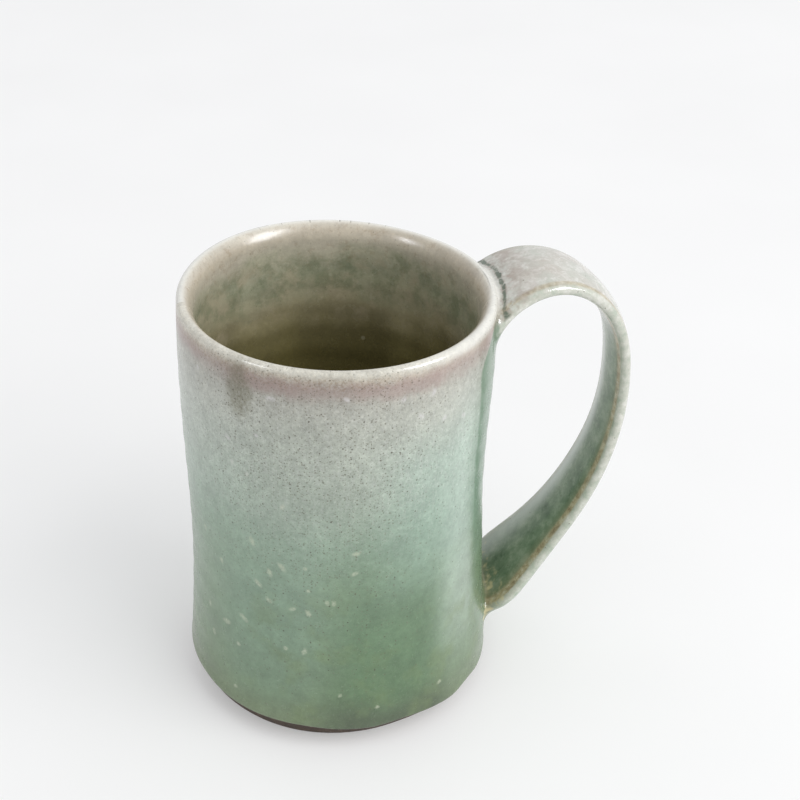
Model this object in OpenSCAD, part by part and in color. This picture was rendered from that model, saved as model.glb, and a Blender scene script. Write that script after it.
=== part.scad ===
// Hand-thrown stoneware mug: a tall, slightly waisted cup with a pulled strap
// handle, finished with a liner glaze, an outside glaze and a glazed handle.
// Millimetres, +Z up. The origin is the centre of the foot on the table, on the
// cup's own axis, and the handle points along +X.

/* [Cup] */
// Outside diameter over the glaze at the rim
rim_d = 82; // [80:0.5:86]
// Height of the rim above the table
body_h = 119; // [115:1:123]
// Outside diameter at the swelling just below the rim
shoulder_d = 82.6; // [81:0.2:86]
// Outside diameter at the waist
waist_d = 80.2; // [79:0.2:83]
// Largest outside diameter, just above the foot
base_d = 84; // [83:0.2:87]
// Clay wall thickness at the rim
rim_wall = 2.2; // [1.8:0.1:3]
// Clay wall thickness at the bottom
base_wall = 4.4; // [3.6:0.2:5.2]
// Clay floor thickness at the middle of the cup
floor_t = 5; // [4:0.2:7]

/* [Foot] */
// Diameter of the bare foot on the table
foot_d = 72; // [68:0.5:76]
// Width of the foot ring
foot_ring_w = 6; // [4:0.5:8]
// Depth of the trimmed hollow under the floor
foot_hollow = 1.8; // [1:0.1:2.4]
// Height of the bevelled clay left without glaze above the table
bare_h = 7; // [6:0.2:8]

/* [Glaze] */
// Thickness of the fired glaze
glaze_t = 0.4; // [0.3:0.05:0.6]

/* [Handle] */
// Width of the strap along its free run
strap_w = 18; // [15:0.5:21]
// Width of the strap where it meets the top of the wall
strap_top_w = 30.5; // [26:0.5:33]
// Width the strap flares to above its rounded lower end
strap_low_w = 33; // [28:0.5:35]
// Thickness of the strap's edges
strap_edge_t = 3; // [2.4:0.1:3.6]
// Thickness of the strap along its middle
strap_mid_t = 4.8; // [4:0.1:5.6]

/* [Hidden] */

clay_colour  = [0.46, 0.38, 0.30];
liner_colour = [0.47, 0.47, 0.36];
outer_colour = [0.57, 0.66, 0.57];
strap_colour = [0.62, 0.65, 0.58];

// Heights of the base swelling, the waist and the shoulder swelling
base_z = 10.5;
waist_z = 45.5;
shoulder_z = 94.5;
// Height and depth of the small round above the bevel
corner_h = 2.2;
corner_in = 1.3;
// Fillet between the inside wall and the floor
well_r = 13;
lip_r = rim_wall / 2;
steps = 16;
// How far the strap's lower end rounds in where it is pressed on the wall
tongue = 0.34;

// Centre line of the strap in the plane of the handle: [distance from the axis, height]
strap_route = [[37, 111.3], [45.5, 116.9], [56, 119.7], [66, 115.7], [73.5, 106.5], [77, 93.5], [77, 77.5],
               [73.5, 61.5], [66.5, 46.5], [57, 33.5], [47, 23], [37, 14]];

// ---------------------------------------------------------------- profile
function ease(t) = let (u = min(1, max(0, t))) u * u * (3 - 2 * u);
function between(z, z0, r0, z1, r1) = r0 + (r1 - r0) * ease((z - z0) / (z1 - z0));

// Outside radius over the glaze at height z, above the bevelled foot
function wall_r(z) =
    z < waist_z ? between(z, base_z, base_d / 2, waist_z, waist_d / 2) :
    z < shoulder_z ? between(z, waist_z, waist_d / 2, shoulder_z, shoulder_d / 2) :
    between(z, shoulder_z, shoulder_d / 2, body_h, rim_d / 2);
// The wall turns in to the bevel over a small round
function corner_r(z) = let (u = min(1, (bare_h + corner_h - z) / (corner_h + 0.2)))
    wall_r(bare_h + corner_h) - corner_in * (1 - sqrt(max(0, 1 - u * u)));
function outer_r(z) = z >= bare_h + corner_h ? wall_r(z) : corner_r(max(z, bare_h));
function clay_wall(z) = base_wall + (rim_wall - base_wall) * pow(min(1, max(0, (z - 12) / (body_h - 14))), 5);
function clay_outer_r(z) = outer_r(z) - glaze_t;
function clay_inner_r(z) = wall_r(max(z, base_z)) - glaze_t - clay_wall(z);

lip_z = body_h - glaze_t - lip_r;
lip_c = clay_outer_r(lip_z) - lip_r;
floor_z = foot_hollow + floor_t;

// Clay outline points, from the glaze line up to the lip's centre height
function outer_line(off) = concat(
    [for (i = [0 : 5]) let (z = bare_h + corner_h * (1 - cos(90 * i / 6))) [clay_outer_r(z) + off, z]],
    [for (i = [0 : steps]) let (z = bare_h + corner_h + (lip_z - bare_h - corner_h) * i / steps) [clay_outer_r(z) + off, z]]);
function lip_line(off) = [for (a = [15 : 15 : 165]) [lip_c + (lip_r + off) * cos(a), lip_z + (lip_r + off) * sin(a)]];
function inner_line(off) = concat(
    [for (i = [0 : steps]) let (z = lip_z - (lip_z - floor_z - well_r) * i / steps) [clay_inner_r(z) - off, z]],
    [for (a = [15 : 15 : 90])
        [clay_inner_r(floor_z + well_r) - off - (well_r - off) * (1 - cos(a)),
         floor_z + well_r - (well_r - off) * sin(a)]]);
function backwards(v) = [for (i = [len(v) - 1 : -1 : 0]) v[i]];

// ---------------------------------------------------------------- strap
function catmull(a, b, c, d, t) = 0.5 * (2 * b + (c - a) * t + (2 * a - 5 * b + 4 * c - d) * t * t
                                        + (3 * b - a - 3 * c + d) * t * t * t);
function route(s) =
    let (n = len(strap_route), x = min(n - 1.000001, max(0, s * (n - 1))), i = floor(x), t = x - i,
         p = strap_route)
    catmull(i > 0 ? p[i - 1] : 2 * p[0] - p[1], p[i], p[i + 1],
            i < n - 2 ? p[i + 2] : 2 * p[n - 1] - p[n - 2], t);
function run(s) = let (d = route(min(1, s + 0.004)) - route(max(0, s - 0.004))) d / norm(d);
function strap_width(s) = strap_w
    + (strap_top_w - strap_w) * pow(max(0, 1 - s / 0.27), 2)
    + (strap_low_w - strap_w) * pow(max(0, (s - 0.6) / 0.4), 2)
    - tongue * strap_low_w * pow(max(0, (s - 0.91) / 0.09), 1.6);

across = 8;
round_n = 4;
// Cross-section of the strap as [across, through] points: blunt edges, fuller middle
function strap_section(w, te, tm, grow) =
    let (h = (w - te) / 2, e = te / 2 + grow, m = (tm - te) / 2)
    concat(
        [for (i = [0 : across]) let (x = sin(-90 + 180 * i / across)) [x * h, e + m * (1 - x * x)]],
        [for (i = [1 : round_n - 1]) let (a = 90 - 180 * i / round_n) [h + e * cos(a), e * sin(a)]],
        [for (i = [0 : across]) let (x = sin(90 - 180 * i / across)) [x * h, -e - m * (1 - x * x)]],
        [for (i = [1 : round_n - 1]) let (a = -90 - 180 * i / round_n) [-h + e * cos(a), e * sin(a)]]);
// A section placed on the handle's centre line
function placed(s, pts) = let (c = route(s), t = run(s))
    [for (p = pts) [c[0] - t[1] * p[1], p[0], c[1] + t[0] * p[1]]];

// Skin a stack of equal closed rings
module loft(rings) {
    n = len(rings[0]);
    k = len(rings);
    polyhedron(
        points = [for (r = rings) for (p = r) p],
        faces = concat(
            [[for (j = [n - 1 : -1 : 0]) j]],
            [for (i = [0 : k - 2]) for (j = [0 : n - 1])
                [i * n + j, (i + 1) * n + (j + 1) % n, (i + 1) * n + j]],
            [for (i = [0 : k - 2]) for (j = [0 : n - 1])
                [i * n + j, i * n + (j + 1) % n, (i + 1) * n + (j + 1) % n]],
            [[for (j = [0 : n - 1]) (k - 1) * n + j]]));
}

strap_stations = 46;
module strap(grow = 0) {
    loft([for (i = [0 : strap_stations]) let (s = i / strap_stations)
        placed(s, strap_section(strap_width(s), strap_edge_t, strap_mid_t, grow))]);
}

// Clay worked into the corner round one end of the strap. It swells the strap's
// section towards the wall, little on its upper side and more below and beside.
function swell(d, reach) = pow(max(0, 1 - max(0, d) / reach), 2.2);
function swollen(pts, k, up, side, down) =
    [for (p = pts) let (l = norm(p), c = p[0] / l, q = p[1] / l)
        [p[0] + sign(c) * pow(abs(c), 0.6) * side * k,
         p[1] + (q > 0 ? up : -down) * pow(abs(q), 0.35) * k]];
function clearance(s) = let (p = route(s)) p[0] - clay_outer_r(min(p[1], lip_z));
function join_ring(s, reach, up, side, down, grow) =
    let (k = swell(clearance(s) - 0.6, reach))
    placed(s, swollen(strap_section(strap_width(s), strap_edge_t, strap_mid_t, grow - 0.3 * (1 - k)),
                      k, up, side, down));
upper_stations = [0, 0.02, 0.04, 0.055, 0.07, 0.085, 0.1, 0.115, 0.13];
lower_stations = [0.875, 0.89, 0.905, 0.92, 0.935, 0.95, 0.965, 0.98, 1];
function upper_ring(s, grow) = join_ring(s, 8, 0.5, 2.2, 5, grow);
function lower_ring(s, grow) = join_ring(s, 8, 4, 1.6, 1.6, grow);
module upper_fillet(grow = 0) loft([for (s = upper_stations) upper_ring(s, grow)]);
module lower_fillet(grow = 0) loft([for (s = lower_stations) lower_ring(s, grow)]);
// The short stretch of each that passes through the cup's glaze
module upper_root() loft([for (i = [0 : 4]) upper_ring(upper_stations[i], 0)]);
module lower_root() loft([for (i = [4 : 8]) lower_ring(lower_stations[i], 0)]);

// Everything inside a given surface of the cup, as one solid of revolution
module cup_solid(off) {
    rotate_extrude($fn = 96) polygon(concat(
        [[0, -1], [foot_d / 2 + off, -1]], outer_line(off),
        [[clay_outer_r(lip_z) + off, body_h + 6], [0, body_h + 6]]));
}

// ---------------------------------------------------------------- pieces
module thrown_cup() {
    color(clay_colour)
    rotate_extrude($fn = 96) polygon(concat(
        // hollow under the floor and the foot ring
        [[0, foot_hollow], [foot_d / 2 - foot_ring_w - 1, foot_hollow], [foot_d / 2 - foot_ring_w, 0],
         [foot_d / 2 - 0.6, 0], [foot_d / 2, 0.6]],
        outer_line(0), lip_line(0), inner_line(0), [[0, floor_z]]));
}

module pulled_handle() {
    color(clay_colour) difference() {
        strap();
        cup_solid(0);
    }
}

module upper_join_clay() {
    color(clay_colour) difference() {
        upper_fillet();
        strap();
        cup_solid(0);
    }
}

module lower_join_clay() {
    color(clay_colour) difference() {
        lower_fillet();
        strap();
        cup_solid(0);
    }
}

module liner_glaze() {
    color(liner_colour)
    rotate_extrude($fn = 96) polygon(concat(
        inner_line(0), [[0, floor_z], [0, floor_z + glaze_t]], backwards(inner_line(glaze_t))));
}

module outside_glaze() {
    color(outer_colour) difference() {
        rotate_extrude($fn = 96) polygon(concat(
            outer_line(glaze_t), lip_line(glaze_t),
            [[lip_c - lip_r - glaze_t, lip_z], [lip_c - lip_r, lip_z]],
            backwards(lip_line(0)), backwards(outer_line(0))));
        upper_root();
        lower_root();
    }
}

module handle_glaze() {
    color(strap_colour) resize([0, 0, 0]) difference() {
        union() {
            strap(glaze_t);
            upper_fillet(glaze_t);
            lower_fillet(glaze_t);
        }
        strap();
        upper_fillet();
        lower_fillet();
        cup_solid(glaze_t);
    }
}

thrown_cup();
pulled_handle();
upper_join_clay();
lower_join_clay();
liner_glaze();
outside_glaze();
handle_glaze();
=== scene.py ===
import math
import bpy
import numpy as np
from mathutils import Matrix, Vector


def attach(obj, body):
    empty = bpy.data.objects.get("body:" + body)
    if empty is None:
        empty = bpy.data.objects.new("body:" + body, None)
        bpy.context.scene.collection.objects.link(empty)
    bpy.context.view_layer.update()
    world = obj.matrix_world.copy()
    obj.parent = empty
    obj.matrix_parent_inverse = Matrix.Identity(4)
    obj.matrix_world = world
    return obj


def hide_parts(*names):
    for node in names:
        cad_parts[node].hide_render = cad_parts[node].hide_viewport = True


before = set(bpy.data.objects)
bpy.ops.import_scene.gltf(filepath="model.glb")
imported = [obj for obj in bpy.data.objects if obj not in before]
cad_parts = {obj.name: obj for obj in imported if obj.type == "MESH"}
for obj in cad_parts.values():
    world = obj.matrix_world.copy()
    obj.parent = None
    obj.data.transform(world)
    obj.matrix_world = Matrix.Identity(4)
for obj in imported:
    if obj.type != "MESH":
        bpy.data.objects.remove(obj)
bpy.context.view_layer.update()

# ===================================================================== shape
# Everything in this block is in millimetres, in the row frame.

TAU = 2 * math.pi
RIM = 118.9          # mean rim height
LIP = 1.3            # radius of the lip's outer round
SKIN = 0.4           # glaze thickness


def spline(xs, ys):
    """Cubic spline through the knots, straight beyond both ends; returns value and slope."""
    xs, ys = np.asarray(xs, float), np.asarray(ys, float)
    n, h = len(xs), np.diff(xs)
    a, b = np.zeros((n, n)), np.zeros(n)
    for i in range(1, n - 1):
        a[i, i - 1], a[i, i], a[i, i + 1] = h[i - 1], 2 * (h[i - 1] + h[i]), h[i]
        b[i] = 6 * ((ys[i + 1] - ys[i]) / h[i] - (ys[i] - ys[i - 1]) / h[i - 1])
    a[0, :3] = h[1], -(h[0] + h[1]), h[0]
    a[-1, -3:] = h[-1], -(h[-2] + h[-1]), h[-2]
    m = np.linalg.solve(a, b)

    def at(x):
        x = np.asarray(x, float)
        c = np.clip(x, xs[0], xs[-1])
        i = np.clip(np.searchsorted(xs, c) - 1, 0, n - 2)
        d, hi = c - xs[i], h[i]
        s = (ys[i + 1] - ys[i]) / hi - hi * (2 * m[i] + m[i + 1]) / 6
        v = ys[i] + s * d + m[i] / 2 * d ** 2 + (m[i + 1] - m[i]) / (6 * hi) * d ** 3
        g = s + m[i] * d + (m[i + 1] - m[i]) / (2 * hi) * d ** 2
        return v + g * (x - c), g
    return at


def monotone(xs, ys):
    """Shape-preserving cubic through the knots, flat beyond both ends."""
    xs, ys = np.asarray(xs, float), np.asarray(ys, float)
    h, d = np.diff(xs), np.diff(ys) / np.diff(xs)
    g = np.zeros(len(xs))
    for i in range(1, len(xs) - 1):
        if d[i - 1] * d[i] > 0:
            w1, w2 = 2 * h[i] + h[i - 1], h[i] + 2 * h[i - 1]
            g[i] = (w1 + w2) / (w1 / d[i - 1] + w2 / d[i])

    def end(h0, h1, d0, d1):
        e = ((2 * h0 + h1) * d0 - h0 * d1) / (h0 + h1)
        if e * d0 <= 0:
            return 0.0
        if d0 * d1 <= 0 and abs(e) > 3 * abs(d0):
            return 3 * d0
        return e
    g[0], g[-1] = end(h[0], h[1], d[0], d[1]), end(h[-1], h[-2], d[-1], d[-2])

    def at(x):
        x = np.clip(np.asarray(x, float), xs[0], xs[-1])
        i = np.clip(np.searchsorted(xs, x) - 1, 0, len(xs) - 2)
        t = (x - xs[i]) / h[i]
        return ((1 + 2 * t) * (1 - t) ** 2 * ys[i] + t * (1 - t) ** 2 * h[i] * g[i]
                + t * t * (3 - 2 * t) * ys[i + 1] + t * t * (t - 1) * h[i] * g[i + 1])
    return at


def around(az, centre, width):
    """A smooth bump round the cup, az and centre in degrees."""
    d = (np.asarray(az) - centre + 180) % 360 - 180
    return np.exp(-(d / width) ** 2)


def round_table(pairs):
    """A smooth periodic curve through (degrees, value) pairs."""
    pairs = sorted(pairs)
    xs = np.array([p[0] for p in pairs], float)
    ys = np.array([p[1] for p in pairs], float)
    at = monotone(np.r_[xs - 360, xs, xs + 360], np.r_[ys, ys, ys])
    return lambda az: at((np.asarray(az, float) + 180) % 360 - 180)


_wall = spline([3, 10, 21.0, 39.3, 57.7, 76.1, 94.4, 118.9],
               [42.0, 41.7, 40.73, 40.0, 40.11, 40.73, 41.29, 41.01])
_push = monotone([3, 6.5, 14.5, 31.5, 46.5, 61.5, 81.5, 98, 119],
                 [1.0, 1.2, 1.6, 1.2, 0.8, 0.0, -0.4, -0.15, 0])
_tuck = monotone([3, 6.5, 16, 30, 119], [-0.8, -0.7, -0.35, 0, 0])
_rng = np.random.default_rng(7)
_waves = [(_rng.integers(2, 5), _rng.uniform(0.02, 0.07), _rng.uniform(0, TAU), _rng.uniform(0, TAU)) for _ in range(7)]


def wobble(az, z):
    """The slow unevenness of a hand-thrown wall."""
    a = np.radians(az)
    return sum(0.07 * np.sin(k * a + f * z + p) * np.cos(0.6 * f * z + q) for k, f, p, q in _waves)


def wall_r(az, z):
    """Outside radius over the glaze."""
    z = np.asarray(z, float)
    rings = 0.05 * np.sin(TAU * z / 8.1 + np.radians(az)) * np.clip((110 - z) / 12, 0, 1) * np.clip((z - 10) / 12, 0, 1)
    return (_wall(z)[0] + _push(z) * around(az, -14, 40) + _tuck(z) * around(az, 176, 38)
            + rings + wobble(az, z) * np.clip((112 - z) / 30, 0.15, 1))


def rim_z(az):
    return RIM + 0.6 * around(az, 125, 34) - 0.7 * around(az, 42, 30) + 0.08 * np.sin(3 * np.radians(az) + 1)


def lip_z(az):
    return rim_z(az) - LIP


def cup_r(az, z):
    """Outside radius, the rounded lip included."""
    zc = lip_z(az)
    over = np.clip(z - zc, 0, LIP * 0.9999)
    r = wall_r(az, np.minimum(z, zc))
    return r - LIP + np.sqrt(LIP ** 2 - over ** 2)


# The lip's inner side: tight at the crest, then opening to a long soft curve. Tilt 90 is the crest.
_tilt = np.linspace(90, 0, 361)
_bend_r = monotone([0, 38, 52, 90], [6.0, 6.0, 1.7, 1.5])(_tilt)
_dt = np.radians(0.25)
_lip_x = np.r_[0, np.cumsum((_bend_r * np.sin(np.radians(_tilt)))[:-1] * _dt)]
_lip_d = np.r_[0, np.cumsum((_bend_r * np.cos(np.radians(_tilt)))[:-1] * _dt)]
LIP_IN, SEAM = float(_lip_x[-1]), float(_lip_d[-1])


def crest_r(az):
    return wall_r(az, lip_z(az)) - LIP


def inner_r(az, z):
    """Inside radius over the liner glaze, between the rounded floor corner and the lip's curve."""
    z = np.asarray(z, float)
    zt = rim_z(az) - SEAM
    t = LIP + LIP_IN + 0.9 * (1 - np.clip((z - 12) / 100, 0, 1) ** 0.8)
    rings = 0.07 * np.sin(TAU * z / 7.3 - 1.0 * np.radians(az)) * np.clip((zt - 3 - z) / 10, 0, 1)
    base = _wall(np.maximum(z, 10))[0] + _push(z) * around(az, -14, 40) * 0.7 + wobble(az, z) * 0.5 * np.clip((112 - z) / 30, 0.15, 1)
    top = crest_r(az) - LIP_IN
    k = np.clip((z - (zt - 9)) / 9, 0, 1)
    k = k * k * (3 - 2 * k)
    return (base - t + rings) * (1 - k) + top * k


# Height of the glaze line and the bare bevelled foot under it
glaze_line = round_table([(-162, 7.9), (-146, 7.2), (-130, 6.9), (-112, 7.0), (-98, 6.5), (-87, 6.3), (-74, 6.8),
                          (-60, 6.0), (-50, 5.3), (-40, 6.0), (-28, 4.8), (-14, 4.6), (10, 5.2), (40, 6.2), (75, 6.0),
                          (110, 6.8), (140, 6.4), (170, 7.3)])
FOOT_R, FOOT_W, FOOT_UP = 36.0, 6.0, 1.8
FOOT_SHIFT = np.array([-0.9, -0.6])
FLOOR = 7.2
WELL = 13.0

# ------------------------------------------------------------------- handle
KNOT_RHO = [40.268, 64.350, 73.378, 77.232, 75.728, 67.755, 55.167, 40.606]
KNOT_Z = [114.461, 117.211, 107.194, 90.906, 69.623, 48.702, 30.704, 14.332]
_ch = np.r_[0, np.cumsum(np.hypot(np.diff(KNOT_RHO), np.diff(KNOT_Z)))]
_ch /= _ch[-1]
_rail_r, _rail_z = spline(_ch, KNOT_RHO), spline(_ch, KNOT_Z)
_width = monotone([0, 0.25, 0.5, 0.75, 0.84, 0.88, 0.92, 0.945, 0.97, 1.0, 1.03],
                  [30.42, 18.8, 17.94, 21.31, 24.7, 27.0, 28.8, 28.0, 25.2, 20.5, 15.0])
EDGE_T, MID_T = 3.07, 4.87
HANDLE_AZ = (-0.36, 0.35)

N_FACE, N_EDGE = 26, 9


def section(w, inset=0.0):
    """Cross-section of the strap: blunt round edges and a fuller middle. Rows follow w."""
    w = np.asarray(w, float)[:, None]
    te = EDGE_T - 2 * inset
    bulge = (MID_T - EDGE_T) / 2
    half = (w - EDGE_T) / 2
    x = np.sin(np.linspace(-math.pi / 2, math.pi / 2, N_FACE))[None]
    a = np.linspace(math.pi / 2, -math.pi / 2, N_EDGE + 2)[1:-1][None]
    one = np.ones_like(w)
    u = np.concatenate([x * half, half + te / 2 * np.cos(a) * one, -x * half, -half - te / 2 * np.cos(a) * one], 1)
    v = np.concatenate([(te / 2 + bulge * (1 - x ** 2)) * one, te / 2 * np.sin(a) * one,
                        -(te / 2 + bulge * (1 - x ** 2)) * one, -te / 2 * np.sin(a) * one], 1)
    return u, v


def strap_points(s, inset=0.0):
    """Points of the strap's surface at stations s: (stations, around, 3)."""
    s = np.asarray(s, float)
    r, dr = _rail_r(s)
    z, dz = _rail_z(s)
    d = np.hypot(dr, dz)
    tr, tz = dr / d, dz / d
    u, v = section(_width(s), inset)
    # pulled by hand: the edges waver a little and the strap leans very slightly
    u = u * (1 + 0.012 * np.sin(9 * s + 1.3) + 0.008 * np.sin(23 * s))[:, None]
    v = v * (1 + 0.03 * np.sin(14 * s + 0.4))[:, None]
    az = np.radians(HANDLE_AZ[0] + (HANDLE_AZ[1] - HANDLE_AZ[0]) * np.clip(s, 0, 1))
    rr = r[:, None] - tz[:, None] * v
    zz = z[:, None] + tr[:, None] * v
    return np.stack([rr * np.cos(az)[:, None] - u * np.sin(az)[:, None],
                     rr * np.sin(az)[:, None] + u * np.cos(az)[:, None], zz], -1)


def outside_by(p, sink=0.0):
    """How far points lie outside the cup's outer surface."""
    return np.hypot(p[..., 0], p[..., 1]) - cup_r(np.degrees(np.arctan2(p[..., 1], p[..., 0])), p[..., 2]) + sink


def meet(inset, sink):
    """Station of each line of the strap where it meets the cup, at the top and at the bottom."""
    s = np.linspace(-0.1, 1.1, 1201)
    out = outside_by(strap_points(s, inset), sink) > 0
    top, low = [], []
    for j in range(out.shape[1]):
        k = np.where(~out[:500, j])[0].max()
        top.append(s[k] + 0.0005)
        k = 800 + np.where(~out[800:, j])[0].min()
        low.append(s[k] - 0.0005)
    return np.array(top), np.array(low)


def on_line(s_per_line, inset):
    """One ring of points, line j at its own station."""
    k = np.arange(len(s_per_line))
    return strap_points(s_per_line, inset)[k, k]


def ease(x):
    x = np.clip(x, 0, 1)
    return x * x * (3 - 2 * x)


# reach of the worked-in clay: (along the strap, along the wall) by side of the strap
u_ref, v_ref = section(np.array([20.0]))
_side = np.clip(np.abs(u_ref[0]) / 9.0, 0, 1) ** 6
_over = (v_ref[0] > 0) & (np.abs(u_ref[0]) < 9.5)
FACE = v_ref[0] / np.abs(v_ref[0]).max()


def reach_top(rise):
    up = ease((FACE + 0.25) / 0.5)
    f = 1.3 * up + 8.0 * (1 - up)
    g = 2.2 * up + 7.0 * (1 - up)
    side = _side * (1 - np.abs(FACE))
    return f * (1 - side) + 3.2 * side, g * (1 - side) + 5.0 * side


def reach_low():
    up = ease((FACE + 0.25) / 0.5)
    f = 3.6 * up + 4.0 * (1 - up)
    g = 4.6 * up + 4.2 * (1 - up)
    side = _side * (1 - np.abs(FACE))
    return f * (1 - side) + 3.0 * side, g * (1 - side) + 4.5 * side


def along_wall(hit, f, sink):
    """Points a distance f outward from a closed outline on the wall, kept on the wall's surface."""
    az = np.unwrap(np.arctan2(hit[:, 1], hit[:, 0]))
    flat = np.stack([az * 41, hit[:, 2]], -1)
    t = np.roll(flat, -1, 0) - np.roll(flat, 1, 0)
    t /= np.linalg.norm(t, axis=1)[:, None] + 1e-9
    nrm = np.stack([t[:, 1], -t[:, 0]], -1)
    c = flat.mean(0)
    if ((flat - c) * nrm).sum() < 0:
        nrm = -nrm
    for _ in range(6):
        nrm = (np.roll(nrm, 1, 0) + 2 * nrm + np.roll(nrm, -1, 0)) / 4
    nrm /= np.linalg.norm(nrm, axis=1)[:, None]
    out = flat + nrm * np.asarray(f)[:, None]
    top = rim_z(np.degrees(out[:, 0] / 41)) - 0.35
    out[:, 1] = np.minimum(out[:, 1], top)
    return out, flat


def from_wall(flat, sink):
    az = flat[:, 0] / 41
    r = cup_r(np.degrees(az), flat[:, 1]) - sink
    return np.stack([r * np.cos(az), r * np.sin(az), flat[:, 1]], -1)


def bow(inset, sink, top, blend=1.0, n=11):
    """The fillet at one end: rings from the wall to the strap, the outline on the wall, the station where it leaves."""
    s_top, s_low = meet(inset, sink)
    s_hit = s_top if top else s_low
    hit = on_line(s_hit, inset)
    f, g = reach_top(0) if top else reach_low()
    f, g = f * blend, g * blend
    edge, flat = along_wall(hit, f, sink)
    length = _arc_total()
    sign = 1 if top else -1
    s_far = s_hit + sign * g / length
    far = on_line(s_far, inset)
    near = from_wall(edge, sink - 0.03)
    t = (np.linspace(0, 1, n) ** 0.9)[:, None, None]
    rings = (1 - t) ** 2 * near[None] + 2 * t * (1 - t) * hit[None] + t ** 2 * far[None]
    return rings, edge, s_far


def _arc_total():
    s = np.linspace(0, 1, 400)
    return float(np.hypot(np.diff(_rail_r(s)[0]), np.diff(_rail_z(s)[0])).sum())


def lined(s_a, s_b, n, inset):
    """n rings of the strap between two sets of stations."""
    t = np.linspace(0, 1, n)
    return np.array([on_line(s_a + (s_b - s_a) * x, inset) for x in t])


# ================================================================ mesh tools
def make(name, verts, faces, attributes=None, sharp=38):
    mesh = bpy.data.meshes.new(name)
    mesh.from_pydata((np.asarray(verts) / 1000).tolist(), [], faces)
    for key, values in (attributes or {}).items():
        a = mesh.attributes.new(key, "FLOAT", "POINT")
        a.data.foreach_set("value", np.asarray(values, np.float32))
    mesh.validate()
    mesh.polygons.foreach_set("use_smooth", np.ones(len(mesh.polygons), bool))
    mesh.set_sharp_from_angle(angle=math.radians(sharp))
    mesh.update()
    o = bpy.data.objects.new(name, mesh)
    bpy.context.scene.collection.objects.link(o)
    return o


def quads(rows, cols, closed_rows=False, flip=False):
    """Faces of a grid whose columns wrap round; the rows wrap too if closed_rows."""
    out = []
    last = rows if closed_rows else rows - 1
    for i in range(last):
        a, b = i * cols, ((i + 1) % rows) * cols
        for j in range(cols):
            k = (j + 1) % cols
            q = (a + j, a + k, b + k, b + j)
            out.append(q[::-1] if flip else q)
    return out


NA = 400
AZ = np.linspace(-180, 180, NA, endpoint=False)
CA, SA = np.cos(np.radians(AZ)), np.sin(np.radians(AZ))


def ring(r, z):
    return np.stack([r * CA, r * SA, z + 0 * CA], -1)


def lip_ring(a, off):
    """A ring on the rounded lip; a runs from 0 outside over the crest at 90 to 180 inside."""
    rc = crest_r(AZ)
    if a <= 90:
        a = math.radians(a)
        return ring(rc + (LIP - off) * math.cos(a), lip_z(AZ) + (LIP - off) * math.sin(a))
    tilt = 180 - a
    x = float(np.interp(-tilt, -_tilt, _lip_x))
    d = float(np.interp(-tilt, -_tilt, _lip_d))
    t = math.radians(tilt)
    return ring(rc - x + off * math.cos(t), rim_z(AZ) - d - off * math.sin(t))


def floor_ring(t, off):
    """Rings from the inside wall (t 0) round the corner (t 1) and in to the middle (t 2)."""
    zc = FLOOR - off + WELL
    rw = inner_r(AZ, np.full(NA, float(FLOOR + WELL))) + off
    if t <= 1:
        a = t * math.pi / 2
        return ring(rw - (WELL) * (1 - math.cos(a)), zc - WELL * math.sin(a))
    k = 2 - t
    rho = (rw - WELL) * k
    # the spiral the potter's finger leaves on the floor
    groove = 0.16 * np.sin(TAU * rho / 5.2 - np.radians(AZ)) * min(1, k * 3) * min(1, (1 - k) * 4 + 0.2)
    return ring(rho, FLOOR - off + groove + 0 * CA)


# --------------------------------------------------------- outside glaze coat
def outside_coat():
    zg = glaze_line(AZ)
    rows, inside = [], []
    e = 0.62

    def bead(dz):
        return 0.26 * np.exp(-((dz - 1.1) / 1.5) ** 2)
    # the rolled edge of the glaze where it stops above the foot
    for a in np.linspace(-90, 0, 7)[:-1]:
        z1 = zg + e + e * math.sin(math.radians(a))
        r1 = wall_r(AZ, zg + e) + bead(e) - e + e * math.cos(math.radians(a))
        rows.append(ring(r1, z1)); inside.append(0)
    t = np.linspace(0, 1, 118)
    t = 0.75 * t + 0.25 * (1 - np.cos(math.pi * t)) / 2
    for x in t:  # up the wall
        z = zg + e + (lip_z(AZ) - zg - e) * x
        rows.append(ring(wall_r(AZ, z) + bead(z - zg), z)); inside.append(0)
    for a in np.r_[np.linspace(0, 130, 15)[1:], np.linspace(130, 180, 15)[1:]]:
        rows.append(lip_ring(a, 0)); inside.append(ease((a - 80) / 70.0))
    # back along the clay
    for a in np.linspace(180, 0, 15)[:-1]:
        rows.append(lip_ring(a, SKIN)); inside.append(0)
    for x in np.linspace(1, 0, 34):
        z = zg + 0.02 + (lip_z(AZ) - zg) * x
        rows.append(ring(wall_r(AZ, z) - SKIN, z)); inside.append(0)
    verts = np.array(rows).reshape(-1, 3)
    att = np.repeat(np.array(inside, float), NA)
    return make("outside_glaze_coat", verts, quads(len(rows), NA, True), {"inner": att}, sharp=50)


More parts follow.
